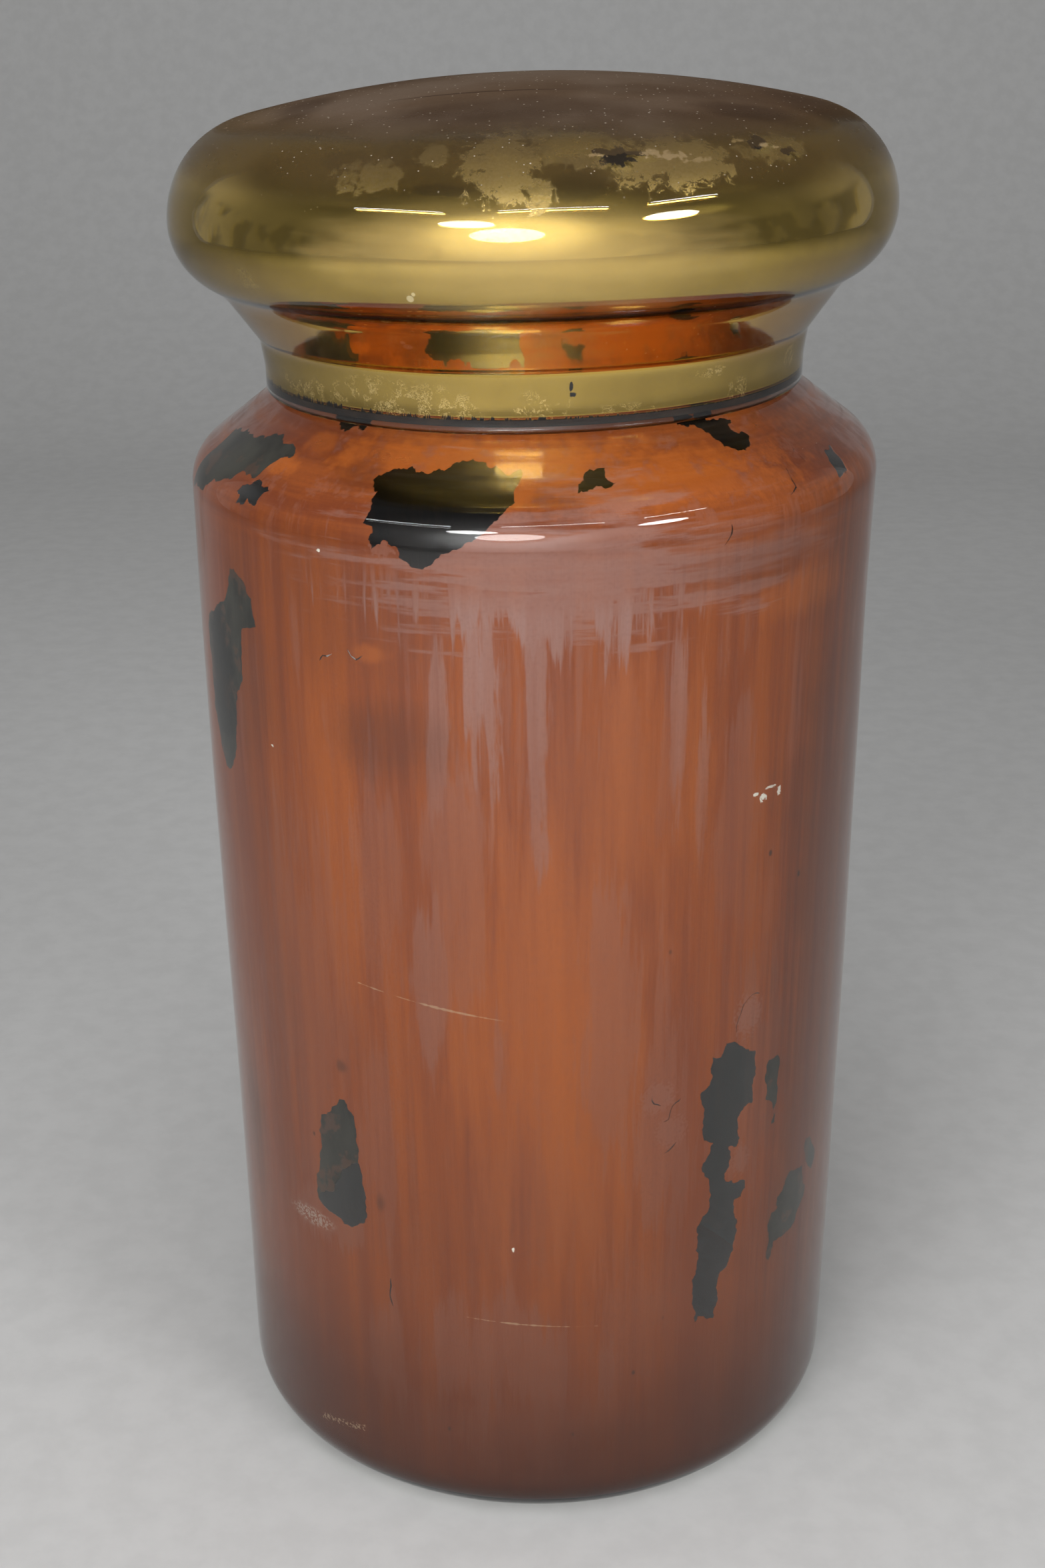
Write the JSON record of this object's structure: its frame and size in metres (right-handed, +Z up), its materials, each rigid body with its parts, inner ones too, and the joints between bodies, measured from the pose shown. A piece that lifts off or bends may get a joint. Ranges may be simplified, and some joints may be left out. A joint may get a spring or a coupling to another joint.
{
  "type": "covered display jar",
  "caption": "Tall covered display jar of clear glass, painted brown inside with flaked losses, under a hollow gold-mirrored mushroom lid that lifts off.",
  "frame": {"origin": "centre of the standing ring, in the plane the jar stands on", "axes": "+Z up the jar's axis towards the lid; the jar is round, and -Y is the side with the large flaked losses that faces a viewer"},
  "size_m": [0.369, 0.3688, 0.7527],
  "materials": {
    "jar_glass": "clear blown glass, glossy",
    "jar_paint": "old brushed reddish brown paint on the inside of the glass",
    "lid_glass": "clear blown glass, glossy",
    "lid_gilding": "gold mirror film on the inside of the glass, cloudy in places",
    "lid_backing": "dark varnish behind the gold"
  },
  "bodies": {
    "jar": {"jar_glass": "jar_glass", "jar_paint": "jar_paint"},
    "lid": {"lid_glass": "lid_glass", "lid_gilding": "lid_gilding", "lid_backing": "lid_backing"}
  },
  "joints": [
    {"name": "lid_lift", "type": "slide", "parent": "jar", "child": "lid", "axis": [0, 0, 1], "range_m": [0, 0.25]}
  ]
}
